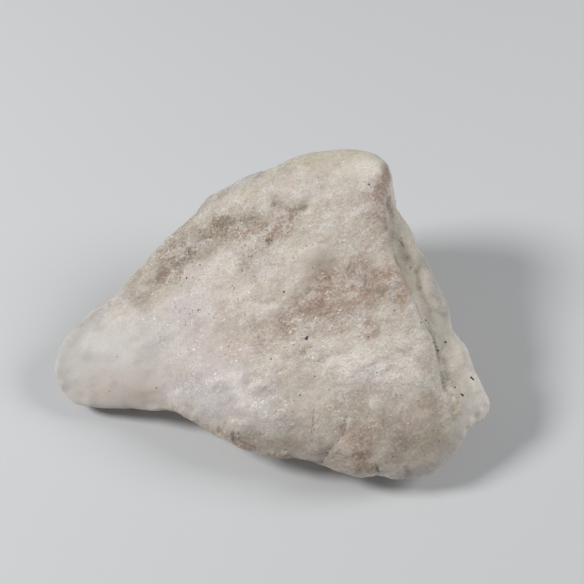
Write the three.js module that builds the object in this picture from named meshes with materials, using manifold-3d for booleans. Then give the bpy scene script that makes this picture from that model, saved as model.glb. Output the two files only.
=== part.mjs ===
// A hand specimen of massive calcite: one broken stone of sugary white grains, modelled as one
// solid. Units are millimetres and +Z is up. The stone lies on a small flat fracture face, with
// its broad pale face tilted up towards -Y, a low arm reaching out to -X and a ledge along +X.
//
// The stone is made the way it broke. Its corners are placed by hand, the flat fracture faces
// between them are the hull of the corners as seen from the stone's heart, the edges are worn
// round, and last the furrows, hollows, ribs and lumps are pressed into the skin.

import * as THREE from "three";
import { ConvexHull } from "three/addons/math/ConvexHull.js";
import { ImprovedNoise } from "three/addons/math/ImprovedNoise.js";
import { mergeVertices } from "three/addons/utils/BufferGeometryUtils.js";
import Module from "manifold-3d";

// ---- Driving dimensions -----------------------------------------------------------------

const SKIN_DETAIL = 23; // splits of each icosahedron edge: 20 * (23 + 1)^2 = 11520 triangles
const EVENING_PASSES = 14; // how often the skin's triangles are evened out over the stone
const WEAR_PASSES = 2; // how often the edges are worn
const WEAR_SHARE = 0.5; // how far one pass draws a point towards its neighbours' middle
const HEART = new THREE.Vector3(3, 0, 16); // every face of the stone can be seen from here

const SWELL = { wavelength: 14, height: 1 }; // broad swells left by the break
const KNOTS = { wavelength: 8, height: 0.45 }; // knots of grains, which meet in sharp valleys
const KNOT_MEAN = 0.45; // the knots' mean height, taken off so that the stone keeps its size

// The broad face leans back from level, about a line through its middle.
const FACE_LEAN = THREE.MathUtils.degToRad(35);
const FACE_HEIGHT = 23;

// Corners of the broad side, as [across, up, out] of the leaning face.
const FACE_CORNERS = {
  // The outer edge, clockwise from the arm's tip.
  rim: [
    [-58.2, -16, -7],
    [-57, -8.2, -8],
    [-50.3, 0, -9.5],
    [-41.3, 5.2, -9.5],
    [-32.8, 15.2, -9.5],
    [-29, 20.3, -9.3],
    [-23.8, 23.7, -9],
    [-20, 27.2, -8.8],
    [-17.7, 32.3, -8.5],
    [-11.5, 35.3, -7.5],
    [-5.3, 38, -6.5],
    [1, 39.7, -5.5],
    [6.8, 42.8, -4.5],
    [12.5, 43.7, -3.5],
    [18.5, 44, -2.5],
    [27, 42.5, 0],
    [29.6, 40.3, 1],
    [31, 37, 2],
    [31.4, 28, 2.5],
    [34.8, 24.3, 2.5],
    [37, 18.2, 2.5],
    [40.3, 13.8, 3],
    [42.1, 8, 3.5],
    [45, 2.5, 4.5],
    [45.5, -3.2, 5],
    [49, -6.8, 6],
    [50.7, -12.8, 6.5],
    [54.8, -18, 6],
    [55.6, -22.8, 6],
    [54.5, -25.5, 6],
    [50.5, -28, 7],
    [49.2, -32, 7],
    [44.3, -36, 8.5],
    [38.6, -40.8, 8.5],
    [31, -41.2, 9],
    [23.5, -40.8, 9],
    [17, -39.6, 9.5],
    [11, -36.7, 10],
    [1, -35.5, 9],
    [-3.7, -33.6, 8.5],
    [-8, -33.3, 7.5],
    [-12.4, -31.9, 6.5],
    [-16.2, -29, 5.5],
    [-24.5, -24, 3.5],
    [-34.3, -23.7, -1],
    [-43.8, -24.4, -3.5],
    [-54, -23.4, -6],
  ],
  // The arm reaching out on the left.
  arm: [
    [-51, -9, -3.5],
    [-51, -18, -3.5],
    [-42, -1, -3.5],
    [-39, -9, 0],
    [-39, -19, 0.5],
    [-28.5, -9, 3.5],
    [-28.5, -19, 3.5],
  ],
  // The narrow band along the upper left edge.
  band: [
    [-38, 6, -5.5],
    [-30, 14, -5.5],
    [-23, 21, -4.5],
    [-15, 27.5, -3],
    [-5.5, 32, -1],
    [7, 37.5, 0],
    [-28.5, 6, -2.5],
    [-21.5, 12.5, -2],
    [-13.5, 19, -1],
    [-5, 25, 1],
  ],
  face: [
    [17, 38, 2],
    [24.5, 37, 4],
    [7, 31.5, 3],
    [17, 31.5, 5],
    [7, 25, 4.5],
    [17, 25, 7],
    [-5.5, 17, 3],
    [7, 17.5, 6.5],
    [17, 19, 8.5],
    [-13.5, 10, 2.5],
    [-3, 10, 6.5],
    [7, 11.5, 8.5],
    [17, 13.5, 9.5],
    [-20, 4, 2.5],
    [-5.5, 2.5, 8.5],
    [4.5, 4, 10],
    [15.5, 6, 10.5],
    [24, 7.5, 12],
    [-28.5, -1, 1.5],
    [-18, -5, 6],
    [-5.5, -6, 11],
    [4.5, -6, 12],
    [14.5, -2, 12],
    [24, -2, 13.5],
    [-18, -14, 8.5],
    [-5.5, -14.5, 12.5],
    [7, -13, 15],
    [19, -10.5, 16],
    [31, -8, 15.5],
    [-20.5, -22, 7],
    [-13, -24.5, 10],
    [-3, -24, 13.5],
    [7, -23.5, 16],
    [19, -21.5, 17],
    [31, -20, 17],
    [38.5, -16.5, 15.5],
    [-8, -30, 10],
    [2, -30, 13.5],
    [14, -31, 15.5],
    [26.5, -31, 16],
    [38.5, -28.5, 14.5],
    [14.5, -36, 12.5],
    [26.5, -37, 13.5],
    [38.5, -36, 12.5],
  ],
  // The ridge where the face breaks off on the right, the foot of that step, and the ledge.
  ridge: [
    [27.5, 39, 2.5],
    [27.5, 33.5, 7],
    [28, 25, 9.5],
    [29.5, 17.5, 11.5],
    [31.5, 10, 13],
    [35.5, 2.5, 13.5],
    [38.5, -4.5, 14],
    [40, -12, 14.5],
  ],
  foot: [
    [30, 26, 5.5],
    [31.8, 17.5, 7],
    [34.5, 9, 8],
    [38.5, 1.5, 9],
    [41, -7, 10],
    [43, -14.5, 11.5],
  ],
  ledge: [
    [34, 17.5, 6],
    [38, 7.5, 7.5],
    [42, -2.5, 8.5],
    [45.5, -10, 10],
    [47.5, -17, 10.5],
    [49, -22, 10.5],
    [45, -27, 11.5],
  ],
};

// Corners behind and below, as [x, y, z] above the surface the stone lies on.
const REAR_CORNERS = {
  back: [
    [-54, -4, 5],
    [-47, 6, 8],
    [-38, 13, 10],
    [-26, 25, 15],
    [-12, 34, 20],
    [6, 39, 24],
    [22, 38, 26],
    [33, 27, 22],
    [40, 14, 16],
    [46, 2, 11],
    [51, -12, 8],
  ],
  underside: [
    [-45, -6, 2],
    [-34, 7, 4],
    [-20, 19, 6],
    [-4, 29, 7],
    [14, 32, 7],
    [30, 24, 6],
    [41, 6, 5],
    [46, -10, 4],
    [41, -25, 3],
    [28, -30, 3],
    [10, -27, 3],
    [-8, -23, 4],
    [-22, -15, 4],
    [-36, -13, 2],
  ],
  base: [
    [-26, -3, -2],
    [-10, 13, -2],
    [16, 21, -2],
    [32, 8, -2],
    [33, -12, -2],
    [12, -17, -2],
    [-12, -12, -2],
  ],
};

// Marks on the broad side, each along a line of [across, up, out] points: furrows and hollows
// are pressed in by their depth, and a rib has a depth below zero. The width is from the line
// to where the mark ends.
const FACE_MARKS = [
  // The trough behind the upper left edge, and the lip it leaves.
  { depth: 1.2, width: 5, line: [[-32, 4, -3], [-22.5, 13.5, -3], [-14.5, 21, -1], [0, 25.5, 2]] },
  { depth: -0.7, width: 4, line: [[-27, 17, -4], [-19, 24, -4], [-9.5, 28.5, -2], [0, 31.5, 0]] },
  // The crease that runs down from the trough's end.
  { depth: 1.2, width: 3, line: [[9, 27.5, 4], [3, 27, 3]] },
  { depth: 0.8, width: 3, line: [[1.5, 24, 3], [-2.5, 20, 3], [-6, 16.5, 3]] },
  // The hollow in the middle of the face, with its tail.
  { depth: 1.3, width: 8, line: [[15.5, 12, 9], [20, 3, 11]] },
  { depth: 0.8, width: 8, line: [[14, 13, 9], [7, 4, 10], [0, -4, 11]] },
  // Low swells around it.
  { depth: -0.7, width: 9, line: [[19, -8, 15], [30, -11, 15]] },
  { depth: -0.7, width: 10, line: [[-9, -19, 11], [-3, -23, 13]] },
  { depth: 0.6, width: 5, line: [[-14, -8, 8], [-8, -1, 10]] },
  // The groove at the foot of the ridge.
  { depth: 1.3, width: 3, line: [[28.7, 27, 5], [29.7, 19, 7], [31.5, 13, 8]] },
  { depth: 0.9, width: 3, line: [[35, 3.5, 9], [38.3, -3, 10], [40.4, -11, 11], [41.6, -18, 12]] },
  // Knobs and dips along the ledge.
  { depth: -1, width: 4, line: [[33, 19, 4]] },
  { depth: 1.1, width: 4, line: [[36.5, 11, 5]] },
  { depth: -0.9, width: 4, line: [[41, 2, 5]] },
  { depth: 0.9, width: 4, line: [[43.5, -5, 6]] },
  { depth: -0.9, width: 5, line: [[49, -14, 7]] },
  // The step at the lower right, from the face down to the bottom edge.
  { depth: 0.8, width: 3.5, line: [[17.5, -27, 15], [14.5, -32.5, 13], [12.5, -36, 10]] },
  { depth: -0.8, width: 5, line: [[20, -35.5, 12.5]] },
  // Chips out of the edges.
  { depth: 2.2, width: 4, line: [[26, -39, 9]] },
  { depth: 1.4, width: 3.5, line: [[-10.5, -31.5, 6]] },
  { depth: 1.2, width: 3.5, line: [[5, -36, 9]] },
  { depth: 1.2, width: 3, line: [[-49.5, -1, -9]] },
  { depth: 1.6, width: 4, line: [[49.5, -27.5, 5]] },
];

// Marks behind and below, along lines of [x, y, z] points.
const REAR_MARKS = [
  // Shell-shaped hollows that the break left in the back.
  { depth: 2.4, width: 11, line: [[-22, 22, 12], [-14, 26, 14]] },
  { depth: 2.2, width: 10, line: [[14, 38, 18]] },
  { depth: 1.8, width: 9, line: [[38, 14, 10]] },
  { depth: 1.8, width: 9, line: [[-42, 4, 4]] },
  // Ribs between them.
  { depth: -1.4, width: 5, line: [[-4, 34, 22], [0, 32, 13], [4, 27, 5]] },
  { depth: -1.2, width: 5, line: [[30, 30, 26], [31, 27, 15], [28, 22, 5]] },
  { depth: -1.1, width: 5, line: [[-33, 14, 12], [-28, 10, 5]] },
  // The broken lower edge in front.
  { depth: 1.6, width: 7, line: [[-14, -22, 6]] },
  { depth: 1.6, width: 7, line: [[20, -32, 5]] },
];

// ---- The stone's faces ------------------------------------------------------------------

function onFace(across, up, out) {
  return new THREE.Vector3(across, up, out)
    .applyAxisAngle(new THREE.Vector3(1, 0, 0), FACE_LEAN)
    .add(new THREE.Vector3(0, 0, FACE_HEIGHT));
}

function corners() {
  return [
    ...Object.values(FACE_CORNERS).flat().map((corner) => onFace(...corner)),
    ...Object.values(REAR_CORNERS).flat().map((corner) => new THREE.Vector3(...corner)),
  ];
}

// The flat fracture faces: triangles between corners, found on the hull of their directions.
function fractureFaces() {
  const arms = corners().map((corner) => corner.sub(HEART));
  const armOf = new Map(arms.map((arm) => [arm.clone().normalize(), arm]));
  const hull = new ConvexHull().setFromPoints([...armOf.keys()]);
  const faces = [];
  for (const face of hull.faces) {
    const around = [];
    let edge = face.edge;
    do {
      around.push(armOf.get(edge.head().point));
      edge = edge.next;
    } while (edge !== face.edge);
    for (let i = 2; i < around.length; i += 1) {
      faces.push(new THREE.Triangle(around[0], around[i - 1], around[i]));
    }
  }
  return faces;
}

// How far the stone reaches from its heart in one direction.
function reach(direction, faces) {
  let best = null;
  let bestInside = -Infinity;
  for (const { a, b, c } of faces) {
    const inside = Math.min(
      direction.dot(a.clone().cross(b).normalize()),
      direction.dot(b.clone().cross(c).normalize()),
      direction.dot(c.clone().cross(a).normalize()),
    );
    if (inside > bestInside) {
      bestInside = inside;
      best = new THREE.Plane().setFromCoplanarPoints(a, b, c);
    }
  }
  return -best.constant / best.normal.dot(direction);
}

// ---- The skin ---------------------------------------------------------------------------

// A closed ball of even triangles, with its vertices' neighbours.
function ball() {
  const plain = new THREE.IcosahedronGeometry(1, SKIN_DETAIL);
  plain.deleteAttribute("normal");
  plain.deleteAttribute("uv");
  const geometry = mergeVertices(plain, 1e-5);
  const neighbours = Array.from({ length: geometry.attributes.position.count }, () => new Set());
  const index = geometry.index.array;
  for (let i = 0; i < index.length; i += 3) {
    for (const [from, to] of [[0, 1], [1, 2], [2, 0]]) {
      neighbours[index[i + from]].add(index[i + to]);
      neighbours[index[i + to]].add(index[i + from]);
    }
  }
  return { geometry, neighbours: neighbours.map((set) => [...set]) };
}

function middleOf(points, indices) {
  const middle = new THREE.Vector3();
  for (const i of indices) middle.add(points[i]);
  return middle.divideScalar(indices.length);
}

// Drapes the ball on the fracture faces and evens out its triangles.
function drape(directions, neighbours, faces) {
  const settle = (direction) => direction.setLength(reach(direction.normalize(), faces));
  let points = directions.map(settle);
  for (let pass = 0; pass < EVENING_PASSES; pass += 1) {
    points = points.map((_, i) => settle(middleOf(points, neighbours[i])));
  }
  return points;
}

// Rounds the edges: each pass draws every point in towards its neighbours, and then back out, so
// that the stone keeps its size.
function wear(points, neighbours) {
  const drawn = (from, share) =>
    from.map((point, i) => point.clone().lerp(middleOf(from, neighbours[i]), share));
  let worn = points;
  for (let pass = 0; pass < WEAR_PASSES; pass += 1) {
    worn = drawn(drawn(worn, WEAR_SHARE), -WEAR_SHARE);
  }
  return worn;
}

const noise = new ImprovedNoise();

function noiseAt(point, wavelength) {
  const at = point.clone().divideScalar(wavelength).addScalar(wavelength);
  return noise.noise(at.x, at.y, at.z);
}

function lump(point) {
  const swell = SWELL.height * noiseAt(point, SWELL.wavelength);
  const knots = KNOTS.height * (2 * Math.abs(noiseAt(point, KNOTS.wavelength)) - KNOT_MEAN);
  return swell + knots;
}

// The marks, with their lines laid on the fracture faces and cut into straight pieces.
function marksOn(faces) {
  const laid = (point) => {
    const direction = point.sub(HEART).normalize();
    return direction.multiplyScalar(reach(direction, faces)).add(HEART);
  };
  const placed = [
    ...FACE_MARKS.map((mark) => ({ ...mark, line: mark.line.map((point) => onFace(...point)) })),
    ...REAR_MARKS.map((mark) => ({
      ...mark,
      line: mark.line.map((point) => new THREE.Vector3(...point)),
    })),
  ];
  return placed.map(({ depth, width, line }) => {
    const points = line.map(laid);
    const pieces = points.map((point, i) => new THREE.Line3(points[Math.max(i - 1, 0)], point));
    return { depth, width, pieces };
  });
}

// How deep the marks press in at a point of the skin.
function pressed(point, marks) {
  const nearest = new THREE.Vector3();
  let total = 0;
  for (const { depth, width, pieces } of marks) {
    let distance = Infinity;
    for (const piece of pieces) {
      piece.closestPointToPoint(point, true, nearest);
      distance = Math.min(distance, nearest.distanceTo(point));
    }
    total += depth * (1 - THREE.MathUtils.smoothstep(distance, 0, width));
  }
  return total;
}

function stoneGeometry() {
  const faces = fractureFaces();
  const marks = marksOn(faces);
  const { geometry, neighbours } = ball();
  const position = geometry.attributes.position;
  const directions = neighbours.map((_, i) => new THREE.Vector3().fromBufferAttribute(position, i));
  const points = wear(drape(directions, neighbours, faces), neighbours);
  points.forEach((point, i) => position.setXYZ(i, ...point.add(HEART)));
  geometry.computeVertexNormals();
  points.forEach((point, i) => {
    const out = new THREE.Vector3().fromBufferAttribute(geometry.attributes.normal, i);
    const rise = lump(point) - pressed(point, marks);
    position.setXYZ(i, ...point.clone().addScaledVector(out, rise));
  });
  return geometry;
}

// ---- The flat face it lies on -----------------------------------------------------------

const wasm = await Module();
wasm.setup();

function solidOf(geometry) {
  const bare = geometry.clone();
  bare.deleteAttribute("normal");
  bare.deleteAttribute("uv");
  const merged = mergeVertices(bare, 1e-4);
  return new wasm.Manifold(
    new wasm.Mesh({
      numProp: 3,
      vertProperties: new Float32Array(merged.attributes.position.array),
      triVerts: new Uint32Array(merged.index.array),
    }),
  );
}

function geometryOf(solid) {
  const mesh = solid.getMesh();
  return new THREE.BufferGeometry()
    .setAttribute("position", new THREE.BufferAttribute(mesh.vertProperties, 3))
    .setIndex(new THREE.BufferAttribute(mesh.triVerts, 1));
}

// Cuts the stone off flat at z = 0 and centres its footprint on the origin.
function cutFlat(geometry) {
  const room = 200;
  const below = new THREE.BoxGeometry(room, room, room).translate(0, 0, -room / 2);
  const cut = geometryOf(solidOf(geometry).subtract(solidOf(below)));
  cut.computeBoundingBox();
  const middle = cut.boundingBox.getCenter(new THREE.Vector3());
  return cut.translate(-middle.x, -middle.y, 0);
}

// ---- The specimen -----------------------------------------------------------------------

const calcite = new THREE.MeshStandardMaterial({
  name: "calcite",
  color: 0xc4bab2,
  roughness: 0.62,
  metalness: 0,
});

const stone = new THREE.Mesh(cutFlat(stoneGeometry()), calcite);
stone.name = "calcite_stone";

const specimen = new THREE.Group();
specimen.name = "calcite_specimen";
specimen.add(stone);

export default specimen;
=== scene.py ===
"""A hand specimen of massive calcite: one broken stone of sugary white grains on a pale floor."""
import math

import bmesh
import bpy
import numpy as np
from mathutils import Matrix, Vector, noise
from mathutils.bvhtree import BVHTree


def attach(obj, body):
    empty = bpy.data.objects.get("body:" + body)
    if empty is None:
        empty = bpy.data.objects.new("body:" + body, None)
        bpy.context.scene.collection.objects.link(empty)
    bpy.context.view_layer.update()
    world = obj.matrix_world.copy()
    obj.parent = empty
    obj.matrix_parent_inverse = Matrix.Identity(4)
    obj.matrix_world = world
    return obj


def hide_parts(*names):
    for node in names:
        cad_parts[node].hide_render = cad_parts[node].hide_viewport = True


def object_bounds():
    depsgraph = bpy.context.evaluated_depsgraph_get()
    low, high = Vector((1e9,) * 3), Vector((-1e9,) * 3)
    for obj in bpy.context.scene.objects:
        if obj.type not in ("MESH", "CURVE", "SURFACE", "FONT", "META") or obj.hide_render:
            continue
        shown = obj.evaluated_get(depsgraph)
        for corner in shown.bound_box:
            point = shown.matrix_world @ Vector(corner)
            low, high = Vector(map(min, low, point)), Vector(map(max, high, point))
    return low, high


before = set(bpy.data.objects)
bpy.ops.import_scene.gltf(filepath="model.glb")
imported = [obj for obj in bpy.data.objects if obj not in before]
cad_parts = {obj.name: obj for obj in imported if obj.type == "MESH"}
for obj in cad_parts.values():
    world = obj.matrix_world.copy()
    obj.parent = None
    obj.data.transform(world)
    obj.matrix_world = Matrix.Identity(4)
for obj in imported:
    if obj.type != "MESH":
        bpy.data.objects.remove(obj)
cad_low, cad_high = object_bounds()

MM = 0.001
STONE_NODE = "calcite_stone"

# ---- The stone's sizes, in millimetres ----------------------------------------------------

SKIN_STEP = 0.53  # spacing of the skin's vertices: two or three to a grain
SKIN_SMOOTHING = 24  # passes that take the skin's voxel steps away
REST_BAND = 1.5  # the relief fades out over this height above the resting face
REST_FLAT = 0.25  # what comes out lower than this is laid flat at z = 0

GRAIN = 1.3  # size of the grains that stand out in the skin
GRAIN_TILT = 0.09  # slope of a grain's flat face against the skin
FLAKE = 3.4  # size of the flakes the grains broke in
FLAKE_TILT = 0.09
BLOCK = 9.0  # size of the blocks that the back and the sides broke in
BLOCK_TILT = 0.07
SWELL = 9.0  # size of the broader swells
SWELL_HEIGHT = 0.8
LAY_STRETCH = 1.35  # flakes and swells are this much longer along the lay than across it
RELIEF_SEED = 0.31  # in metres: moves the places where the relief's cells fall

LET_DOWN_REACH = 7.0  # how far the let-down side of a crack takes to level out
FAR = 9.0  # stands for the distance to a crack or a speck that isn't near

# The broad face leans back from level. Places on it are [across, up] in its own plane.
FACE_LEAN = math.radians(35)
FACE_HEIGHT = 23.0
FACE_MIDDLE = (0.25, 0.13)
FACE_CLEARANCE = 100.0  # places are dropped onto the stone from this far out
FACE_UP = Vector((0, math.cos(FACE_LEAN), math.sin(FACE_LEAN)))
FACE_OUT = Vector((0, -math.sin(FACE_LEAN), math.cos(FACE_LEAN)))

# The lay: the direction the crystals run in, climbing to the right across the face.
LAY = (Vector((1, 0, 0)) * math.cos(math.radians(28)) + FACE_UP * math.sin(math.radians(28))).normalized()

# Furrows along lines of [across, up] places: depth, half width and line. A rib's depth is
# below zero.
FURROWS = [
    # The trough behind the upper left edge, the creases at its end, and a low rib by them.
    (0.3, 3.5, [(-33, 3), (-27, 10), (-20, 16.5), (-14.5, 22), (-9.5, 25)]),
    (0.7, 1.8, [(9.5, 27), (8.5, 26.5), (6.5, 26), (4.5, 26.5), (2, 28)]),
    (0.6, 1.3, [(6, 25.8), (5, 24.5), (3.5, 23), (2.5, 22), (1.5, 20.5), (0.5, 19)]),
    (0.35, 1.6, [(-3, 16), (-4.5, 14), (-5.5, 12.5), (-6.5, 11.8)]),
    (-0.3, 3.0, [(-8.5, 26), (-4.5, 25.5), (-0.5, 25)]),
    # The hollow in the face and its tail, the brow above them, and two low ribs below.
    (0.7, 7.0, [(14, 10), (17, 7), (21, 7)]),
    (0.4, 3.5, [(15, 8), (11, 3.5), (8, -1.5), (5, -5), (0, -8)]),
    (-0.5, 4.5, [(1, -2), (4, 3), (8, 8), (12, 13)]),
    (-0.45, 3.2, [(15.5, -7.5), (18.5, -11), (20, -14.5)]),
    (-0.35, 2.6, [(-2, -12), (-8, -15.5), (-13, -17)]),
    # The ridge, and the flat band and the groove at its foot.
    (-0.4, 1.8, [(28, 38), (27.8, 31.5), (28.6, 25), (29.8, 20), (30.8, 15), (32.2, 10), (34.3, 5),
                 (36.4, 0.5), (38, -3), (39.6, -6), (40.5, -9.5)]),
    (0.8, 1.9, [(30, 36), (29.8, 31.5), (30.6, 26)]),
    (0.6, 1.0, [(39, -1.5), (40.2, -4), (41.2, -7.5), (41.8, -10.5), (42, -14), (43, -17.5), (45, -20)]),
    # The hollow behind the ridge, and the rim, the knobs and the dips of the ledge.
    (0.65, 3.2, [(34.2, 13), (35, 10), (36.7, 5), (38.6, 0)]),
    (0.45, 2.2, [(37.4, 10.6), (37.5, 8), (38.2, 5)]),
    (-0.45, 3.2, [(35.8, 18), (37.2, 15)]),
    (-0.35, 2.4, [(39.8, 9.5), (40.5, 6.8), (41.7, 3)]),
    (0.7, 1.2, [(36.7, 18.3), (38.5, 16.5)]),
    (0.6, 1.1, [(40.3, 8.8), (42, 8)]),
    (0.5, 1.1, [(41, 4.9), (43, 4)]),
    (0.5, 1.3, [(42, 0.9), (44, -0.5)]),
    (0.5, 1.8, [(43.5, -3.5), (42.8, -7)]),
    (-0.7, 3.0, [(46.5, -5), (48.5, -10)]),
    (0.35, 2.2, [(43, -11.5), (44.2, -16.5)]),
    (-0.5, 2.6, [(50.5, -13.5), (52.5, -18)]),
    # The notches of the lower edge, and the knobs between them.
    (0.6, 1.2, [(27.3, -38.5), (26.6, -36.5)]),
    (0.4, 1.2, [(34.6, -39), (34, -37)]),
    (-0.4, 3.0, [(16.5, -33.5), (21.5, -37), (24, -38)]),
    (-0.3, 2.4, [(26, -21)]),
    (-0.3, 2.4, [(31.5, -23)]),
    (-0.3, 1.8, [(19.8, -26)]),
]

# Chips and knobs of the outline, in or out along the skin's own normals: depth, half width, line.
CHIPS = [
    (0.7, 2.6, [(-51.5, -6.5)]),
    (0.5, 1.1, [(-48.5, -2.4)]),
    (0.45, 2.4, [(-35, 9), (-33.5, 11)]),
    (0.35, 2.0, [(-30.5, 14.5)]),
    (-0.25, 1.6, [(-28.5, 18.5)]),
    (0.35, 0.9, [(-18.6, 26.6)]),
    (0.35, 1.0, [(-22.2, 22.2)]),
    (0.35, 1.0, [(1, 37.6)]),
    (0.5, 2.0, [(35, 20)]),
    (0.45, 2.4, [(42.5, 5), (43.5, 2.5)]),
    (0.35, 1.6, [(45, -4.5)]),
    (0.4, 1.6, [(53.5, -22.5)]),
    (0.7, 1.8, [(51.5, -25)]),
    (-0.6, 1.7, [(48, -29.5)]),
    (0.5, 0.9, [(49.3, -27.6)]),
    (-0.3, 2.0, [(47, -32)]),
    (0.4, 2.0, [(-3, -33), (0, -33.5)]),
    (-0.5, 2.4, [(-53.5, -18.5)]),
    (-0.45, 3.2, [(-46, -22)]),
    (-0.4, 1.8, [(-18.5, -25.5)]),
    (-0.35, 2.0, [(-10.5, -30), (-6.5, -32)]),
    (-0.5, 1.8, [(30, -39)]),
    (0.45, 2.2, [(-30.5, -23), (-26, -22.5)]),
    (0.25, 2.0, [(13.5, -36), (17.5, -37.5)]),
]

# Cracks: depth, half width, how far the side on the right of the line is let down, how dark the
# crack is, and its line.
CRACKS = [
    (0.15, 0.6, 0.25, 0.3, [(18.3, -18), (19, -22), (19.2, -26)]),
    (0.25, 0.6, 0.3, 0.55, [(19.2, -26), (18.4, -28.5), (16.9, -30.6), (15.3, -32.2), (14.2, -34.5),
                            (13.4, -36.5)]),
    (0.1, 0.5, 0.1, 0.5, [(11.5, -21.5), (11, -25), (11.5, -28)]),
    (0.1, 0.5, 0.0, 0.4, [(10.4, -27), (10.6, -28.3)]),
    (0.1, 0.6, 0.15, 0.4, [(9.2, -2), (9, -6), (9.2, -8.8), (10.3, -10.8), (12.5, -10.8)]),
]

# Where the skin broke waxy and smooth and not crisp: share, half width and line.
SMOOTH_PARTS = [
    (0.85, 20, [(-52, -14), (-38, -15)]),
    (0.55, 6, [(33, 22), (35, 14), (39, 7), (43, 0), (47, -8), (50, -16)]),
    (0.4, 9, [(16, 42), (26, 40)]),
    (0.5, 6, [(33, -36), (43, -33)]),
    (0.6, 6, [(51, -17), (52, -23), (47.5, -29), (44, -33)]),
    (0.35, 13, [(-2, -27), (12, -24)]),
    (0.4, 12, [(24, -26), (36, -27)]),
    (0.3, 12, [(-27, 3), (-18, 8)]),
    (0.45, 13, [(-25, -3), (-14, -13), (-15, -20)]),
    (0.6, 5, [(10.5, 12.5), (14, 14.5)]),
]

# ---- Small helpers ------------------------------------------------------------------------


def linear(hex_colour, alpha=1.0):
    """An sRGB hex colour as linear red, green, blue and alpha."""
    parts = [int(hex_colour[i : i + 2], 16) / 255 for i in (1, 3, 5)]
    return (*[c / 12.92 if c <= 0.04045 else ((c + 0.055) / 1.055) ** 2.4 for c in parts], alpha)


def add(tree, kind, links=None, **settings):
    """Adds a node. Settings are its properties, and links gives each input a value or a socket."""
    node = tree.nodes.new(kind)
    for name, value in settings.items():
        setattr(node, name, value)
    for name, source in (links or {}).items():
        socket = node.inputs[name]
        if isinstance(source, bpy.types.NodeSocket):
            tree.links.new(source, socket)
        else:
            socket.default_value = source
    return node


def smoothstep(value, low, high):
    share = np.clip((value - low) / (high - low), 0, 1)
    return share * share * (3 - 2 * share)


def positions(mesh):
    flat = np.empty(len(mesh.vertices) * 3)
    mesh.vertices.foreach_get("co", flat)
    return flat.reshape(-1, 3)


def normals(mesh):
    flat = np.empty(len(mesh.vertices) * 3)
    mesh.vertices.foreach_get("normal", flat)
    return flat.reshape(-1, 3)


def move_to(mesh, points):
    mesh.vertices.foreach_set("co", points.ravel())
    mesh.update()


def plain_mesh(obj, name):
    """The object's mesh with its modifiers applied, in place of the object."""
    shown = obj.evaluated_get(bpy.context.evaluated_depsgraph_get())
    mesh = bpy.data.meshes.new_from_object(shown)
    bpy.data.objects.remove(obj)
    mesh.name = name
    return mesh


def new_object(name, mesh):
    obj = bpy.data.objects.new(name, mesh)
    bpy.context.scene.collection.objects.link(obj)
    return obj


# ---- The stone's form ---------------------------------------------------------------------


def even_skin():
    """The stone's solid with an even skin of small faces."""
    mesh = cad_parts[STONE_NODE].data.copy()
    joined = bmesh.new()
    joined.from_mesh(mesh)
    bmesh.ops.remove_doubles(joined, verts=joined.verts, dist=1e-6)
    joined.to_mesh(mesh)
    joined.free()
    obj = new_object("skin", mesh)
    remesh = obj.modifiers.new("voxels", "REMESH")
    remesh.mode = "VOXEL"
    remesh.voxel_size = SKIN_STEP * MM
    smooth = obj.modifiers.new("smooth", "SMOOTH")
    smooth.factor = 0.5
    smooth.iterations = SKIN_SMOOTHING
    return plain_mesh(obj, "skin")


def along_lay(tree, place, stretch):
    """Squeezes places along the lay, so that cells drawn in them come out stretched."""
    run = add(tree, "ShaderNodeVectorMath", {0: place, 1: LAY}, operation="DOT_PRODUCT").outputs["Value"]
    back = add(tree, "ShaderNodeMath", {0: run, 1: 1 / stretch - 1}, operation="MULTIPLY").outputs[0]
    shift = add(tree, "ShaderNodeVectorMath", {0: LAY, "Scale": back}, operation="SCALE").outputs[0]
    return add(tree, "ShaderNodeVectorMath", {0: place, 1: shift}, operation="ADD").outputs[0]


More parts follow.
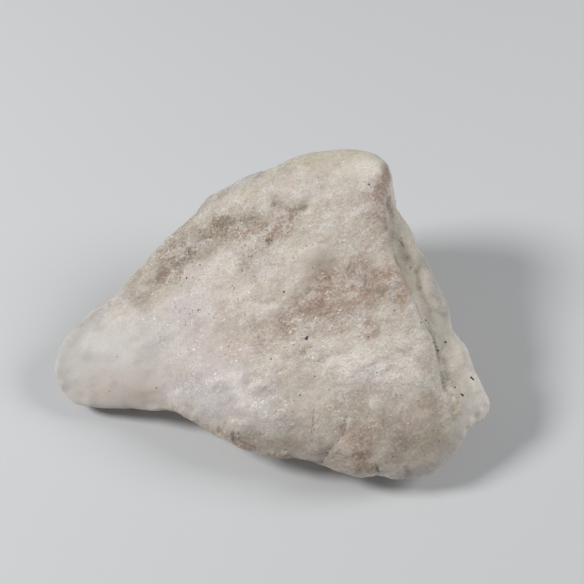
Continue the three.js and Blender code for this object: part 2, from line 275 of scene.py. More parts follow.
def relief_tree(material):
    """Geometry Nodes: raises the skin in grains, flakes, blocks and swells along its normals."""
    tree = bpy.data.node_groups.new("grain_relief", "GeometryNodeTree")
    face = tree.interface
    face.new_socket("Geometry", in_out="INPUT", socket_type="NodeSocketGeometry")
    for name in ("Grain size", "Grain tilt", "Flake size", "Flake tilt", "Block size", "Block tilt",
                 "Swell size", "Swell height", "Rest band", "Seed"):
        face.new_socket(name, in_out="INPUT", socket_type="NodeSocketFloat")
    face.new_socket("Geometry", in_out="OUTPUT", socket_type="NodeSocketGeometry")
    given = add(tree, "NodeGroupInput").outputs
    place = add(tree, "GeometryNodeInputPosition").outputs["Position"]
    up = add(tree, "GeometryNodeInputNormal").outputs["Normal"]

    def stored(name):
        found = add(tree, "GeometryNodeInputNamedAttribute", {"Name": name}, data_type="FLOAT")
        return found.outputs["Attribute"]

    def maths(operation, *values):
        return add(tree, "ShaderNodeMath", dict(enumerate(values)), operation=operation).outputs[0]

    def leaning_cells(where, size, tilt, smoothness):
        """Cells whose faces are flat and each lean their own way."""
        cells = add(tree, "ShaderNodeTexVoronoi",
                    {"Vector": where, "Scale": maths("DIVIDE", 1.0, size), "Smoothness": smoothness},
                    voronoi_dimensions="3D", feature="SMOOTH_F1")
        lean = add(tree, "ShaderNodeVectorMath", {0: cells.outputs["Color"], 1: (0.5, 0.5, 0.5)},
                   operation="SUBTRACT").outputs[0]
        arm = add(tree, "ShaderNodeVectorMath", {0: where, 1: cells.outputs["Position"]},
                  operation="SUBTRACT").outputs[0]
        rise = add(tree, "ShaderNodeVectorMath", {0: arm, 1: lean}, operation="DOT_PRODUCT")
        return maths("MULTIPLY", maths("MULTIPLY", rise.outputs["Value"], 2.0), tilt)

    shift = add(tree, "ShaderNodeCombineXYZ", {"X": given["Seed"], "Y": 3.7, "Z": 1.3}).outputs[0]
    seeded = add(tree, "ShaderNodeVectorMath", {0: place, 1: shift}, operation="ADD").outputs[0]
    laid = along_lay(tree, seeded, LAY_STRETCH)
    grain = leaning_cells(seeded, given["Grain size"], given["Grain tilt"], 0.2)
    flake = leaning_cells(laid, given["Flake size"], given["Flake tilt"], 0.12)
    swell = add(tree, "ShaderNodeTexNoise",
                {"Vector": laid, "Scale": maths("DIVIDE", 1.0, given["Swell size"]), "Detail": 3.0,
                 "Roughness": 0.5}, noise_dimensions="3D", noise_type="FBM").outputs[0]
    swell = maths("MULTIPLY", maths("SUBTRACT", swell, 0.5), given["Swell height"])
    block = leaning_cells(seeded, given["Block size"], given["Block tilt"], 0.3)
    fine = maths("MULTIPLY", maths("ADD", grain, flake), stored("crisp"))
    total = maths("ADD", maths("ADD", fine, swell), maths("MULTIPLY", block, stored("blocky")))

    height = add(tree, "ShaderNodeSeparateXYZ", {0: place}).outputs["Z"]
    held = add(tree, "ShaderNodeMapRange",
               {"Value": height, "From Min": 0.0, "From Max": given["Rest band"]}).outputs[0]
    offset = add(tree, "ShaderNodeVectorMath", {0: up, "Scale": maths("MULTIPLY", total, held)},
                 operation="SCALE").outputs[0]
    moved = add(tree, "GeometryNodeSetPosition", {"Geometry": given["Geometry"], "Offset": offset})
    real = add(tree, "GeometryNodeRealizeInstances", {"Geometry": moved.outputs["Geometry"]})
    finished = add(tree, "GeometryNodeSetMaterial",
                   {"Geometry": real.outputs["Geometry"], "Material": material})
    out = add(tree, "NodeGroupOutput")
    tree.links.new(finished.outputs["Geometry"], out.inputs["Geometry"])
    return tree


def with_relief(mesh, material):
    """The skin with its grains, flakes, blocks and swells raised, in its material."""
    obj = new_object("skin", mesh)
    modifier = obj.modifiers.new("relief", "NODES")
    modifier.node_group = relief_tree(material)
    values = {"Grain size": GRAIN * MM, "Grain tilt": GRAIN_TILT, "Flake size": FLAKE * MM,
              "Flake tilt": FLAKE_TILT, "Block size": BLOCK * MM, "Block tilt": BLOCK_TILT,
              "Swell size": SWELL * MM, "Swell height": SWELL_HEIGHT * MM,
              "Rest band": REST_BAND * MM, "Seed": RELIEF_SEED}
    for item in modifier.node_group.interface.items_tree:
        if item.name in values:
            modifier[item.identifier] = values[item.name]
    return plain_mesh(obj, "skin")


def fit_to_solid(mesh):
    """Scales the skin by a hair, so that it just fills the solid's box, and lays it flat at z = 0."""
    points = positions(mesh)
    low, high = points.min(0), points.max(0)
    want_low, want_high = np.array(cad_low), np.array(cad_high)
    points = want_low + (points - low) * (want_high - want_low) / (high - low)
    points[points[:, 2] < REST_FLAT * MM, 2] = 0.0
    move_to(mesh, points)


# ---- Marks in the skin --------------------------------------------------------------------


def face_place(tree, across, up):
    """The place of the stone's surface under a point of the leaning face's plane, in metres."""
    across, up = across + FACE_MIDDLE[0], up + FACE_MIDDLE[1]
    above = Vector((across * MM, 0, 0)) + FACE_UP * (up * MM) + Vector((0, 0, FACE_HEIGHT * MM))
    hit = tree.ray_cast(above + FACE_OUT * (FACE_CLEARANCE * MM), -FACE_OUT)[0]
    return hit if hit is not None else above


def distance_to_line(points, line):
    """Each point's distance to a line of places, and which side of the line it is on."""
    best = np.full(len(points), np.inf)
    side = np.zeros(len(points))
    out = np.array(FACE_OUT)
    ends = [np.array(place) for place in line]
    for start, end in zip(ends[:-1] or ends, ends[1:] or ends):
        run = end - start
        share = np.clip((points - start) @ run / max(run @ run, 1e-12), 0, 1)
        gap = points - start - share[:, None] * run
        distance = np.linalg.norm(gap, axis=1)
        nearer = distance < best
        best[nearer] = distance[nearer]
        side[nearer] = np.sign(gap[nearer] @ np.cross(run, out))
    return best, side


class Skin:
    """A mesh's points and normals, with distances in millimetres to lines on its leaning face."""

    def __init__(self, mesh):
        self.points = positions(mesh)
        self.outward = normals(mesh)
        self.facing = self.outward @ np.array(FACE_OUT)
        faces = [tuple(polygon.vertices) for polygon in mesh.polygons]
        self.tree = BVHTree.FromPolygons([Vector(point) for point in self.points], faces)

    def sided(self, line):
        places = [face_place(self.tree, *place) for place in line]
        distance, side = distance_to_line(self.points, places)
        return distance / MM, side

    def near(self, line):
        return self.sided(line)[0]

    def wobble(self, size, seed):
        """A smooth random value between about -1 and 1 for each point."""
        shift = Vector((seed, seed * 0.7, -seed))
        return np.array([noise.noise(Vector(point) / (size * MM) + shift) for point in self.points])


def store(mesh, name, values):
    """Keeps a number, an offset or a colour for each vertex."""
    kind, field = {1: ("FLOAT", "value"), 3: ("FLOAT_VECTOR", "vector"), 4: ("FLOAT_COLOR", "color")}[
        values.shape[1] if values.ndim > 1 else 1]
    attribute = mesh.attributes.new(name, kind, "POINT")
    attribute.data.foreach_set(field, values.astype(np.float32).ravel())


def broken(mesh):
    """Stores how crisply each part of the skin broke, and where it broke in blocks."""
    skin = Skin(mesh)
    crisp = np.ones(len(skin.points))
    for share, width, line in SMOOTH_PARTS:
        crisp = np.minimum(crisp, 1 - share * (1 - smoothstep(skin.near(line), width * 0.5, width)))
    store(mesh, "crisp", crisp)
    store(mesh, "blocky", smoothstep(-skin.facing, 0.0, 0.3) * crisp)
    return mesh


def marked(mesh):
    """Presses the furrows and cracks in square to the leaning face, and the chips square to the skin."""
    skin = Skin(mesh)
    ragged = 0.7 * skin.wobble(3.5, 60) + 0.35 * skin.wobble(1.6, 61)
    sunk = np.zeros(len(skin.points))
    for depth, width, line in FURROWS:
        sunk += depth * (1 - smoothstep(skin.near(line) + ragged * min(width / 3, 1), 0, width))
    for depth, width, drop, _, line in CRACKS:
        distance, side = skin.sided(line)
        sunk += depth * np.clip(1 - distance / width, 0, 1)
        sunk += drop * (side > 0) * (1 - smoothstep(distance, 0, LET_DOWN_REACH))
    sunk *= smoothstep(skin.facing, 0.0, 0.35)
    chipped = np.zeros(len(skin.points))
    for depth, width, line in CHIPS:
        chipped += depth * (1 - smoothstep(skin.near(line), 0, width))
    pressed = np.array(FACE_OUT) * sunk[:, None] + skin.outward * chipped[:, None]
    move_to(mesh, skin.points - pressed * MM)
    return mesh


# ---- Colour in the skin -------------------------------------------------------------------

CALCITE_WHITE = "#d0c8c0"
CALCITE_CREAM = "#d4c8b8"
CALCITE_OLIVE = "#c8c4ac"
CALCITE_ROSE = "#ccb8ac"
SOIL = "#947860"
WHITE_KNOT = "#e0dad4"
CLEAR_GRAIN = "#9f9389"  # greyer, since it lets the light in
# whiter cleavage streaks, partly their own colour and partly painted sheen
WHITE_STREAK_AND_SHEEN = "#ebe6e1"
PORE_DIRT = "#453b31"
CRACK_DIRT = "#564a40"
BLACK_SPECK = "#1d1b17"
# painted highlight: the colour of the glints painted on the cleavage faces
PAINTED_GLINT_WHITE = "#f8f4f0"

# Sizes of the finest cells, in millimetres.
FINE_GRAIN = 0.45
PAINTED_GLINT_FACET = 0.33
STREAK = 0.2
PORE = 0.62

# The finishes that the stains, the painted shade and the painted light are painted in.
CLEAN_AND_LIT = "#ece4dc"  # clean white facets; where a facet faces up to the lamps, painted light
PALE = "#d8d0c4"  # pale knots
IVORY = "#c8c0b0"  # the ledge
MAUVE = "#ccc4c4"  # a faint mauve cast
WAX = "#c8c4c0"  # the arm, clean and neutral
ROSE = "#c4b0a4"  # a faint rosy cast
GREY_EDGE_LIGHT_AND_SHADE = "#b4b0ac"  # cool grey: painted cool edge light and painted shade, mostly along the rims that turn away from the lamps
BUFF = "#b4a898"  # thin soil
DULL = "#a49484"  # old, greyed soil
LOAM_AND_RIM_SHADE = "#a89c88"  # thin, yellowish soil; along the upper left rim it is painted shade
OLIVE_AND_SHADE = "#b8b094"  # olive along the top edge; in the ledge's hollows, olive darkened as painted shade
DARK_OLIVE_SHADE = "#88805c"  # olive, with painted shade in the deepest hollow of the ledge
OCHRE = "#a89480"  # ochre
RUST = "#a08470"  # rosy rust
DEEP_RUST = "#8c6c58"  # rust held in creases and bands
EARTH_AND_SHADE = "#94806c"  # soil; also painted shade along the lower edge and at the ridge's foot
DARK_EARTH_AND_SHADE = "#6c6050"  # packed soil; in the groove at the ridge's foot, painted shadow of the ridge's step
BLACK_EARTH_AND_SHADOW = "#443a30"  # the blackest soil, and painted shadow

# Stains, with painted shade and light among them: colour, strength, half width in millimetres and line of
# [across, up] places.
FACE_STAINS_AND_PAINTED_LIGHT = [
    (WAX, 0.85, 22, [(-52, -13), (-40, -14)]),  # the arm is cooler and cleaner
    (GREY_EDGE_LIGHT_AND_SHADE, 0.5, 6, [(-26, 0), (-27, -7), (-29, -10)]),
    (ROSE, 0.4, 8, [(-43, -18), (-37, -19), (-30, -20)]),
    (MAUVE, 0.7, 12, [(-20, 2), (-17, -8), (-13, -15.5)]),  # a faint mauve cast
    (MAUVE, 0.6, 7, [(-23, -19), (-18, -22), (-12, -23)]),
    (MAUVE, 0.6, 10, [(-8, -19), (-1, -22)]),
    (CLEAN_AND_LIT, 0.7, 2.6, [(-8, -15.5), (-6.5, -18.5), (-5.5, -21)]),
    (CLEAN_AND_LIT, 0.7, 1.6, [(-8.5, -25.5), (-5.5, -25.5)]),
    (OLIVE_AND_SHADE, 0.4, 9, [(-4, 33), (2, 38), (16, 41), (25, 41)]),  # the top edge is faintly olive
    (CLEAN_AND_LIT, 0.8, 5, [(22, 37), (25, 37), (25, 34)]),
    # painted cool edge light and shade along the rims of the arm and the upper left edge
    (GREY_EDGE_LIGHT_AND_SHADE, 0.8, 4.5, [(-54, -15), (-52, -9), (-48, -2.5), (-42.5, 1.5), (-37, 5.5)]),
    (GREY_EDGE_LIGHT_AND_SHADE, 0.8, 4.5, [(-17, 28.5), (-13, 31), (-7, 35), (-3, 36.5)]),
    # painted shade along the upper left rim, where it falls away from the light
    (LOAM_AND_RIM_SHADE, 0.8, 4, [(-36, 8.5), (-31, 14), (-27, 18.5), (-22, 24), (-18, 28.5), (-13, 31)]),
    (ROSE, 0.4, 12, [(-14, -6), (-6, 2), (0, 4)]),
    (DULL, 0.55, 4.0, [(-1, -2.5), (-5, -4), (-9, -6)]),  # veins left of the hollow
    (ROSE, 0.5, 3.6, [(2, -2), (-3, -6.5), (-9.5, -10)]),
    (RUST, 0.85, 9.5, [(16, 8.5), (14.5, 4), (20, 2.5), (21, 9)]),  # rust in the hollow
    (BUFF, 0.7, 6, [(15.5, 11), (16.5, 7)]),
    (DEEP_RUST, 0.7, 3.6, [(14.5, 9.5), (13, 6), (12, 3.5)]),
    (RUST, 0.85, 5, [(19.5, 7), (24, 7), (26, 8)]),
    (RUST, 0.65, 3, [(24.5, -2.5), (25.5, -3.5)]),
    (RUST, 0.85, 5, [(14, 8), (11, 4), (8, -0.5), (6, -3.5)]),  # and down its tail, darkened with painted shade on the shaded side of the brow
    (OCHRE, 0.65, 3.5, [(7, -3), (3, -6), (0, -7.5)]),
    (OCHRE, 0.6, 3.5, [(15, -3.5), (19, -4.5)]),
    (RUST, 0.8, 4.5, [(25, 11.5), (29, 10), (31, 8)]),
    (DULL, 0.6, 4, [(21, 11), (25, 7)]),
    (BUFF, 0.4, 6, [(13, 25), (20, 22)]),
    (BUFF, 0.4, 7, [(16.5, 28), (20, 28), (22, 32)]),
    (DULL, 0.55, 5, [(2, 20), (-5, 13)]),
    (RUST, 0.6, 4, [(4, 24.5), (1, 22), (-5, 21.5)]),  # the creases hold more of it
    (BUFF, 0.65, 2.6, [(2, 29), (4.5, 27.5), (7.5, 27.5)]),
    (OCHRE, 0.7, 1.6, [(5, 26.3), (6.5, 26), (8.7, 26.5)]),
    (DEEP_RUST, 1.0, 2.3, [(5, 24.5), (3.5, 23), (2.5, 22), (1.5, 20.5), (0.5, 19)]),
    (DULL, 0.35, 1.8, [(-3, 16), (-4.5, 14), (-5.5, 12.5), (-6.5, 12)]),
    (RUST, 0.7, 1.8, [(-3.5, 8.5)]),
    (LOAM_AND_RIM_SHADE, 0.8, 8, [(-31, 7), (-24.5, 13.5), (-19.5, 18.5), (-14, 23), (-4.5, 24)]),
    (LOAM_AND_RIM_SHADE, 0.65, 5, [(-24, 11), (-18, 14.5), (-13, 18.5)]),
    (EARTH_AND_SHADE, 0.7, 4.5, [(-26, 13), (-23, 16.5), (-20, 19.5), (-18, 22)]),
    (EARTH_AND_SHADE, 0.7, 2.2, [(-28, 9.5), (-26, 10.8)]),  # soil in the trough
    (DARK_EARTH_AND_SHADE, 0.65, 2.6, [(-22.5, 13.5), (-20.5, 15.5)]),
    (EARTH_AND_SHADE, 0.7, 2.6, [(-15.5, 20.5), (-13, 23), (-10.5, 24)]),
    (EARTH_AND_SHADE, 0.7, 2.2, [(-10.8, 20.2), (-9, 20.8)]),
    (RUST, 0.7, 2.4, [(-6.5, 21), (-3, 22), (-1, 22.5)]),
    (EARTH_AND_SHADE, 0.45, 2.2, [(-5.5, 24.8), (-3.5, 25.3)]),
    (DULL, 0.45, 3.2, [(-33, 3.5), (-32, 2)]),
    (DULL, 0.6, 4.5, [(24.5, 28), (26, 22), (28, 18)]),
    (DEEP_RUST, 0.85, 3.2, [(27.5, 33), (27.5, 29), (28.5, 25), (30, 20.5)]),
    (DEEP_RUST, 0.85, 2.2, [(30, 37), (30, 31.5), (30, 27.5)]),  # the rusty band under the top corner
    # painted shadow between the ridge and the ledge's top, over the rusty band
    (BLACK_EARTH_AND_SHADOW, 0.95, 2.8, [(30, 27.5), (30.7, 25), (31, 22.5), (31.3, 20)]),
    # painted light on the facet below the hollow, which faces up to the lamps
    (CLEAN_AND_LIT, 0.9, 6, [(16.5, -9), (19, -12), (22, -13.5), (25, -13)]),
    (CLEAN_AND_LIT, 0.6, 5, [(24, -12), (31, -13), (36, -16)]),  # the same facet, clean white with painted light
    (DULL, 0.6, 4, [(19, -19.5), (24, -18.5), (28, -18.5)]),
    (BUFF, 0.4, 7, [(6, -18.5), (2, -20.5)]),
    (EARTH_AND_SHADE, 0.68, 6, [(4, -31), (10, -33), (15, -34)]),
    (PALE, 0.4, 6, [(8, 14), (5, 12)]),
    (EARTH_AND_SHADE, 0.7, 3.6, [(10, 0.5), (9.5, -3.5), (8.5, -6)]),
    (BUFF, 0.6, 3.5, [(-3, -11), (8, -10), (18, -8)]),
    (OCHRE, 0.65, 12, [(23, -27), (33, -28), (40, -29)]),  # rust and ochre in the lower corner
    (BUFF, 0.7, 3.5, [(20, -22), (21, -26)]),
    (RUST, 0.75, 4.5, [(19.5, -29.5), (21.5, -28.5), (23, -31.5)]),
    (DULL, 0.7, 6, [(30, -27), (32, -30), (33, -34)]),
    (OCHRE, 0.65, 3.4, [(38.5, -20), (40, -21.5), (41, -23)]),
    (DEEP_RUST, 0.65, 2, [(34.5, -26), (33, -26)]),
    (OLIVE_AND_SHADE, 0.7, 3, [(37.5, -30), (40, -29.5), (43, -29)]),
    (PALE, 0.75, 3, [(44.5, -25.5), (44.5, -28)]),
    (BUFF, 0.7, 3, [(36, -33), (38.5, -32), (42, -31.5)]),
    (OLIVE_AND_SHADE, 0.65, 3, [(45.5, -18.5), (45.5, -21), (46, -23.5)]),
    (PALE, 0.75, 2.6, [(26, -21)]),
    (PALE, 0.8, 3, [(31.5, -23)]),
    (MAUVE, 0.75, 2.0, [(19.6, -26)]),
    (RUST, 0.8, 2.2, [(21.5, -33), (23, -35.5), (25.5, -37)]),
    (DULL, 0.7, 3, [(16.5, -34), (19, -36), (21.5, -38)]),
    (GREY_EDGE_LIGHT_AND_SHADE, 0.65, 3, [(35.5, -38), (38.5, -37), (41.5, -36), (44, -34)]),
    (BUFF, 0.65, 3.4, [(8.5, -26), (11.5, -27.5), (14, -27)]),
    # painted shade along the lower edge, where it curls under
    (EARTH_AND_SHADE, 0.85, 2.6, [(-12, -28.5), (-8, -30.5), (-4, -32.5), (3, -35), (8, -35.5), (13, -36.5),
                        (19, -38)]),
    (RUST, 0.7, 2.4, [(-9, -29), (-6.5, -31.5)]),
    (DULL, 0.7, 3.5, [(-5, -29.5), (0, -30.5)]),
    (DULL, 0.7, 2.4, [(-26, -23.5), (-20, -25.5), (-14, -28.5)]),
    (BLACK_EARTH_AND_SHADOW, 0.9, 1.1, [(-8.6, -29.2), (-8.8, -30)]),
    (BLACK_EARTH_AND_SHADOW, 0.85, 0.9, [(27.2, -38), (26.8, -37)]),
    (EARTH_AND_SHADE, 0.5, 1.2, [(34, -37), (34.5, -38.5)]),
    (IVORY, 0.9, 8, [(33, 24), (35, 17), (39, 9), (43, 2), (46, -6)]),  # the ledge is ivory
    # painted light on the ledge's lower end, which faces up
    (CLEAN_AND_LIT, 0.9, 6, [(47, -4), (51, -12), (54, -21), (51, -25)]),
    # painted shade along the ledge's rim, which falls away from the light
    (GREY_EDGE_LIGHT_AND_SHADE, 0.8, 2.2, [(38.5, 14.5), (40.7, 11), (42.5, 7), (43.8, 2.5), (45, -1)]),
    (IVORY, 0.7, 1.4, [(40.5, 6.8), (41.7, 3)]),
    (OLIVE_AND_SHADE, 0.8, 1.8, [(33.5, 13), (34.5, 9.5), (35.5, 6)]),  # with olive hollows, darkened as painted shade
    (DARK_OLIVE_SHADE, 0.85, 1.3, [(38, 12), (37.2, 10.6), (37.5, 8), (38, 5)]),
    (PALE, 0.7, 1.8, [(38, 5), (38.6, 2)]),
    (RUST, 0.75, 3.5, [(30.5, 9.5), (32.5, 4.5)]),
    (DULL, 0.6, 1.8, [(33.4, 19), (34, 16.5), (34.8, 14.5)]),
    # painted shade at the ridge's foot, on the ledge side
    (EARTH_AND_SHADE, 0.75, 0.9, [(31, 17.5), (32.5, 12.5), (34, 8), (36.5, 2.5), (38, -1)]),
    # painted shadow of the ridge's step, in the groove at its foot
    (DARK_EARTH_AND_SHADE, 0.85, 0.6, [(38.5, -1.5), (40.2, -4.5), (41.2, -7.5), (41.8, -10.5), (42.2, -13),
                             (43.5, -16.5)]),
    (IVORY, 0.75, 2, [(42.9, -11), (43.8, -13.5), (44.2, -16.5)]),
    (BUFF, 0.8, 3, [(45.5, -17), (46.5, -19.5)]),
]

# Black mineral specks in the ledge and the face: half width and [across, up] place.
SPECKS = [
    (0.2, 33.4, 18.2), (0.17, 33.9, 17.4), (0.14, 32.9, 18.9), (0.17, 35, 14.5), (0.2, 35.7, 12),
    (0.26, 39.1, -1), (0.28, 42, -8.5), (0.32, 44, -6.5),
    (0.3, 50.4, -15.3), (0.28, 50.9, -15.7), (0.24, 46, -17.5), (0.32, 48, -19.5), (0.26, 47.6, -19.2),
    (0.36, 9.5, -5.5), (0.26, 9.8, -5.1), (0.15, 6.5, -7), (0.13, 6.2, -7.6), (0.16, 10.5, -7.5),
    (0.14, 12, -1.5), (0.18, 11.5, -14.5), (0.18, 8, -19), (0.15, -10.5, -9.5), (0.15, 2, -23),
    (0.18, 18.6, -25), (0.14, 14, -20), (0.13, 15.5, -8.5), (0.13, 14, -12.5), (0.13, 30.5, -22),
    (0.15, 30.5, -34), (0.28, 4, 6), (0.13, 2.5, 14.5), (0.14, -8.5, 3.5), (0.32, -21, 9.5),
    (0.14, -22, 10.5), (0.14, -23.5, 10.5), (0.26, 25.2, 32.9), (0.16, 25.7, 32), (0.15, 24.2, 33.6),
    (0.18, 26.5, -13.5), (0.18, 31, 1.5), (0.2, 37.5, -1.5),
]

# Where the painted glints, highlights painted into the colour, gather most: strength, half width and
# line.
PAINTED_GLINTS = [
    (0.85, 12, [(-9, -19), (-2, -22)]),
    (0.8, 9, [(8, -5), (16, -7)]),
    (0.9, 10, [(22, -6), (30, -9)]),
    (1.0, 4, [(-31, 14), (-27, 18), (-22, 22), (-17, 27)]),
    (0.6, 8, [(14, 22), (24, 20)]),
    (0.9, 8, [(15, 10), (18, 0)]),
    (0.5, 8, [(-20, -2), (-14, -8)]),
    (0.7, 8, [(20, -22), (28, -24)]),
    (0.8, 5, [(-19, -15), (-20.5, -19.5)]),
    (1.0, 4, [(-10, 26), (-8, 27)]),
    (0.2, 60, [(0, 0)]),
]

# Dirt in the pores: strength, half width and line.
GRIME = [
    (1.0, 7, [(-28, 8), (-22, 13), (-16, 18.5), (-10, 21.5), (-3, 22)]),
    (0.8, 4, [(6, 25), (2.5, 22), (0, 18), (-4.5, 14), (-6, 11)]),
    (0.45, 14, [(-20, 5), (-10, 12)]),
    (0.6, 3.5, [(-9, -29), (-6, -32)]),
    (0.5, 3.5, [(21, -33), (26, -37)]),
    (0.3, 12, [(12, 8), (22, 4)]),
    (0.2, 12, [(30, -22), (40, -28)]),
    (0.15, 60, [(0, 0)]),
]


def blended(colours, colour, share):
    """Moves linear colours towards one sRGB hex colour by a share for each."""
    return colours + (np.array(linear(colour)) - colours) * share[:, None]


def coloured(mesh):
    """Stores the stains with the painted shade and light, cracks, specks, painted glints and grime as
    attributes of the skin.
    """
    skin = Skin(mesh)
    ragged = 2.6 * skin.wobble(6, 3) + 1.4 * skin.wobble(2.4, 8) + 0.8 * skin.wobble(1.1, 15)

    tint = np.tile(linear(CALCITE_WHITE), (len(skin.points), 1))
    tint = blended(tint, CALCITE_CREAM, 0.5 + 0.5 * skin.wobble(14, 21))
    tint = blended(tint, CALCITE_OLIVE, 0.55 * smoothstep(skin.wobble(5, 30), 0, 0.4))
    tint = blended(tint, CALCITE_ROSE, 0.45 * smoothstep(skin.wobble(4.5, 50), 0, 0.4))
    for colour, strength, width, line in FACE_STAINS_AND_PAINTED_LIGHT:
        reach = skin.near(line) + ragged * min(width / 5, 1)
        tint = blended(tint, colour, strength * (1 - smoothstep(reach, 0, width * 1.15)))
    # Soil has stained the back and the underside, which lay in the ground.
    hidden = smoothstep(-skin.facing, 0.0, 0.6)
    patches = skin.wobble(16, 40) + 0.5 * skin.wobble(5, 41) + 0.35 * skin.wobble(2, 42)
    soiled = smoothstep(patches, -0.05, 0.5)
    tint = blended(tint, SOIL, 0.7 * hidden * soiled)
    store(mesh, "tint", tint)

    # A crack keeps its distance with a side, so that its line stays thin between the vertices.
    gap = np.full(len(skin.points), FAR)
    offset = np.full(len(skin.points), FAR)
    darkness = np.zeros(len(skin.points))
    for _, _, _, dark, line in CRACKS:
        distance, side = skin.sided(line)
        nearer = distance < gap
        gap[nearer] = distance[nearer]
        offset[nearer] = (distance * side)[nearer]
        darkness[nearer] = dark
    store(mesh, "crack_darkness", darkness)
    store(mesh, "crack_gap", gap)
    store(mesh, "crack_offset", offset)

    # A speck keeps the offset from its middle, counted in its own half widths.
    gap = np.full(len(skin.points), FAR)
    offset = np.full((len(skin.points), 3), FAR)
    for width, across, up in SPECKS:
        from_middle = (skin.points - np.array(face_place(skin.tree, across, up))) / (width * MM)
        distance = np.linalg.norm(from_middle, axis=1)
        nearer = distance < gap
        gap[nearer] = distance[nearer]
        offset[nearer] = from_middle[nearer]
    store(mesh, "speck_gap", gap)
    store(mesh, "speck_offset", offset)

    for name, places in (("painted_glint", PAINTED_GLINTS), ("grime", GRIME)):
        amount = np.zeros(len(skin.points))
        for strength, width, line in places:
            patch = 1 - smoothstep(skin.near(line) + ragged, width * 0.2, width)
            amount = np.maximum(amount, strength * patch)
        store(mesh, name, amount)
    return mesh


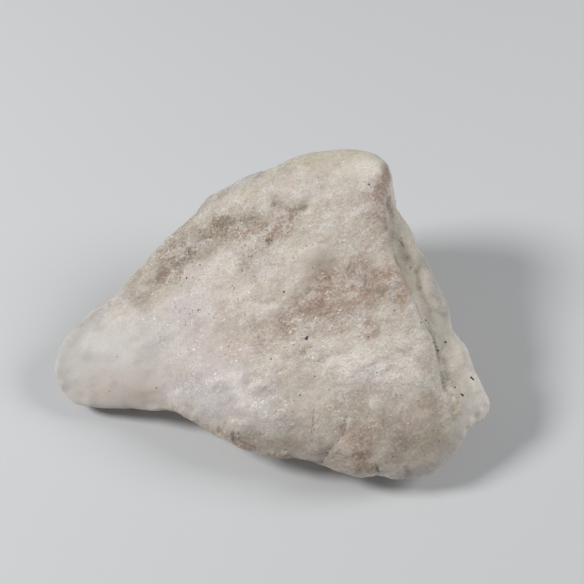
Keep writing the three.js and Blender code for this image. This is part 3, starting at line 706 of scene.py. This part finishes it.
def calcite():
    """Massive calcite, freshly broken: milky grains that let light in, with cleavage faces whose glints
    are highlights painted into the colour.
    """
    material = bpy.data.materials.new("massive_calcite_broken")
    material.use_nodes = True
    tree = material.node_tree
    shader = tree.nodes["Principled BSDF"]
    place = add(tree, "ShaderNodeTexCoord").outputs["Object"]

    def stored(name, output="Fac"):
        return add(tree, "ShaderNodeAttribute", attribute_name=name).outputs[output]

    def maths(operation, *values):
        return add(tree, "ShaderNodeMath", dict(enumerate(values)), operation=operation).outputs[0]

    def vectors(operation, first, second):
        links = {0: first, ("Scale" if operation == "SCALE" else 1): second}
        return add(tree, "ShaderNodeVectorMath", links, operation=operation).outputs[0]

    def ramp(value, low, high, to_low=0.0, to_high=1.0):
        links = {"Value": value, "From Min": low, "From Max": high, "To Min": to_low, "To Max": to_high}
        return add(tree, "ShaderNodeMapRange", links, interpolation_type="SMOOTHSTEP").outputs[0]

    def mixed(share, first, second):
        links = {"Factor": share, 6: first, 7: second}
        return add(tree, "ShaderNodeMix", links, data_type="RGBA").outputs[2]

    def clouds(where, size, detail):
        links = {"Vector": where, "Scale": 1 / (size * MM), "Detail": detail}
        return add(tree, "ShaderNodeTexNoise", links)

    def cells(where, size):
        """Voronoi cells: the distance to the middle, a random direction and three random numbers."""
        found = add(tree, "ShaderNodeTexVoronoi", {"Vector": where, "Scale": 1 / (size * MM)})
        lean = vectors("SUBTRACT", found.outputs["Color"], (0.5, 0.5, 0.5))
        chances = add(tree, "ShaderNodeSeparateColor", {0: found.outputs["Color"]}).outputs
        return found.outputs["Distance"], lean, chances

    shift = vectors("SUBTRACT", clouds(place, 1.5, 1.0).outputs["Color"], (0.5, 0.5, 0.5))
    warped = vectors("ADD", place, vectors("SCALE", shift, 0.6 * MM))
    turned = vectors("SUBTRACT", clouds(place, 7, 1.0).outputs["Color"], (0.5, 0.5, 0.5))
    turned = vectors("ADD", warped, vectors("SCALE", turned, 3 * MM))
    streaked = along_lay(tree, turned, 2.6)
    _, grain_lean, grain = cells(warped, FINE_GRAIN)
    painted_glint_facet_middle, _, painted_glint_facet = cells(along_lay(tree, turned, 2.2), PAINTED_GLINT_FACET)
    streak_middle, streak_lean, streak = cells(streaked, STREAK)
    pore_middle, _, pore = cells(warped, PORE)

    # Stains sit in the pores, so they come and go from grain to grain.
    crisp = stored("crisp")
    mottle = clouds(warped, 0.8, 5.0).outputs[0]
    veil = clouds(along_lay(tree, place, 1.6), 3.2, 4.0).outputs[0]
    share = maths("MAXIMUM", ramp(mottle, 0.36, 0.62, 0.6, 1.1), ramp(crisp, 0.7, 0.3))
    colour = mixed(share, linear(CALCITE_WHITE), stored("tint", "Color"))

    # White knots of crystals between greyer, clearer ones.
    colour = mixed(maths("MULTIPLY", ramp(veil, 0.5, 0.7, 0, 0.45), crisp), colour, linear(WHITE_KNOT))
    colour = mixed(ramp(veil, 0.5, 0.3, 0, 0.22), colour, linear(CLEAR_GRAIN))

    # Each grain is a little lighter or darker than its neighbours.
    shade = maths("ADD", ramp(grain["Red"], 0, 1, -0.08, 0.06), ramp(streak["Red"], 0, 1, -0.15, 0.15))
    colour = vectors("SCALE", colour, maths("ADD", maths("MULTIPLY", shade, crisp), 1.0))

    # Streaks: crystals seen along their cleavage, whiter than the rest, partly their own colour and
    # partly painted sheen.
    chance = maths("MULTIPLY", ramp(streak["Green"], 0.68, 1.0), ramp(veil, 0.4, 0.62, 0.15, 1.0))
    streak_white_and_sheen = maths("MULTIPLY", maths("MULTIPLY", chance, crisp), ramp(streak_middle, 0.75, 0.35))
    colour = mixed(maths("MULTIPLY", streak_white_and_sheen, 0.65), colour, linear(WHITE_STREAK_AND_SHEEN))

    # Dirt holds in the pores.
    filled = maths("LESS_THAN", pore["Green"], ramp(stored("grime"), 0, 1, 0.002, 0.38))
    wide = ramp(pore["Blue"], 0, 1, 0.2, 0.36)
    dot = maths("MULTIPLY", ramp(maths("SUBTRACT", pore_middle, wide), 0.1, -0.08), filled)
    colour = mixed(maths("MULTIPLY", dot, ramp(pore["Red"], 0, 1, 0.45, 0.85)), colour, linear(PORE_DIRT))

    # Cracks and black specks.
    ragged = clouds(place, 0.9, 2.0)
    jag = ramp(ragged.outputs[0], 0.3, 0.7, -0.1, 0.2)
    edge = maths("ADD", maths("ABSOLUTE", stored("crack_offset")), jag)
    line = maths("MULTIPLY", ramp(edge, 0.22, 0.08), ramp(stored("crack_gap"), 0.7, 0.45))
    colour = mixed(maths("MULTIPLY", line, stored("crack_darkness")), colour, linear(CRACK_DIRT))
    bent = vectors("SCALE", vectors("SUBTRACT", ragged.outputs["Color"], (0.5, 0.5, 0.5)), 1.3)
    from_middle = vectors("ADD", stored("speck_offset", "Vector"), bent)
    from_middle = add(tree, "ShaderNodeVectorMath", {0: from_middle}, operation="LENGTH").outputs["Value"]
    black = maths("MULTIPLY", ramp(from_middle, 1.1, 0.75), ramp(stored("speck_gap"), 3.0, 2.0))
    colour = mixed(black, colour, linear(BLACK_SPECK))

    # Painted glints: highlights of cleavage faces painted into the colour, in clumps, with a lower
    # roughness there.
    clump = ramp(clouds(along_lay(tree, place, 2.0), 2.2, 3.0).outputs[0], 0.48, 0.64, 0.1, 1.0)
    gate = ramp(maths("MULTIPLY", stored("painted_glint"), clump), 0, 1, 0.99, 0.5)
    painted_glint_cells = maths("MULTIPLY", maths("GREATER_THAN", painted_glint_facet["Blue"], gate), ramp(painted_glint_facet_middle, 0.65, 0.35))
    painted_glint_cells = maths("MULTIPLY", painted_glint_cells, ramp(crisp, 0.3, 0.55))
    painted_glint_share = maths("MULTIPLY", painted_glint_cells, ramp(painted_glint_facet["Red"], 0, 1, 0.2, 0.75))
    colour = mixed(painted_glint_share, colour, linear(PAINTED_GLINT_WHITE))
    tree.links.new(colour, shader.inputs["Base Color"])

    rough = ramp(grain["Green"], 0, 1, 0.55, 0.75)
    rough = maths("MULTIPLY", rough, ramp(painted_glint_cells, 0, 1, 1.0, 0.6))
    tree.links.new(rough, shader.inputs["Roughness"])

    # The grains' faces lean every way.
    lean = vectors("ADD", vectors("SCALE", grain_lean, 0.25), vectors("SCALE", streak_lean, 0.3))
    lean = vectors("SCALE", lean, crisp)
    facing = vectors("ADD", add(tree, "ShaderNodeNewGeometry").outputs["Normal"], lean)
    facing = add(tree, "ShaderNodeVectorMath", {0: facing}, operation="NORMALIZE").outputs[0]
    tree.links.new(facing, shader.inputs["Normal"])

    shader.inputs["IOR"].default_value = 1.6
    shader.inputs["Subsurface Weight"].default_value = 0.5
    shader.inputs["Subsurface Radius"].default_value = (1.0, 0.8, 0.65)
    shader.inputs["Subsurface Scale"].default_value = 0.6 * MM
    return material


# ---- Build --------------------------------------------------------------------------------

surface = broken(even_skin())
surface = marked(with_relief(surface, calcite()))
fit_to_solid(surface)
surface = coloured(surface)
for polygon in surface.polygons:
    polygon.use_smooth = True
print("skin of", sum(len(polygon.vertices) - 2 for polygon in surface.polygons), "triangles")
stone = new_object("calcite_stone_skin", surface)

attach(stone, "root")
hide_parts(STONE_NODE)

# ---- Floor, light and camera --------------------------------------------------------------

FLOOR_HALF = 3.0  # in metres
PAPER = "#d2d3d4"
PAPER_ROUGHNESS = 0.9
SKY = "#dcdfe2"
SKY_STRENGTH = 0.25

floor_mesh = bpy.data.meshes.new("floor")
floor_corners = [(x * FLOOR_HALF, y * FLOOR_HALF, 0) for x, y in ((-1, -1), (1, -1), (1, 1), (-1, 1))]
floor_mesh.from_pydata(floor_corners, [], [(0, 1, 2, 3)])
paper = bpy.data.materials.new("pale_paper")
paper.use_nodes = True
paper.node_tree.nodes["Principled BSDF"].inputs["Base Color"].default_value = linear(PAPER)
paper.node_tree.nodes["Principled BSDF"].inputs["Roughness"].default_value = PAPER_ROUGHNESS
floor_mesh.materials.append(paper)
floor = new_object("floor", floor_mesh)

world = bpy.data.worlds.new("studio")
bpy.context.scene.world = world
world.use_nodes = True
world.node_tree.nodes["Background"].inputs["Color"].default_value = linear(SKY)
world.node_tree.nodes["Background"].inputs["Strength"].default_value = SKY_STRENGTH


def softbox(name, place, size, watts, aim=(0, 0, 0.02)):
    light = bpy.data.lights.new(name, "AREA")
    light.shape = "DISK"
    light.size = size
    light.energy = watts
    obj = bpy.data.objects.new(name, light)
    bpy.context.scene.collection.objects.link(obj)
    obj.location = place
    obj.rotation_euler = (Vector(aim) - Vector(place)).to_track_quat("-Z", "Y").to_euler()
    return obj


softbox("left", (-0.53, -0.03, 0.53), 0.2, 3.9)
softbox("right", (0.56, 0.05, 0.48), 0.35, 2.15)

VIEW_ELEVATION = math.radians(55)
VIEW_DISTANCE = 0.300
VIEW_AIM = Vector((0.00625, 0.00495, 0.0265))
VIEW_LENS = 72.5
camera_data = bpy.data.cameras.new("camera")
camera_data.lens = VIEW_LENS
camera_data.clip_start = 0.01
camera = bpy.data.objects.new("camera", camera_data)
bpy.context.scene.collection.objects.link(camera)
back = Vector((0, -math.cos(VIEW_ELEVATION), math.sin(VIEW_ELEVATION)))
camera.location = VIEW_AIM + back * VIEW_DISTANCE
camera.rotation_euler = (-back).to_track_quat("-Z", "Y").to_euler()
bpy.context.scene.camera = camera
bpy.context.scene.view_settings.view_transform = "Standard"
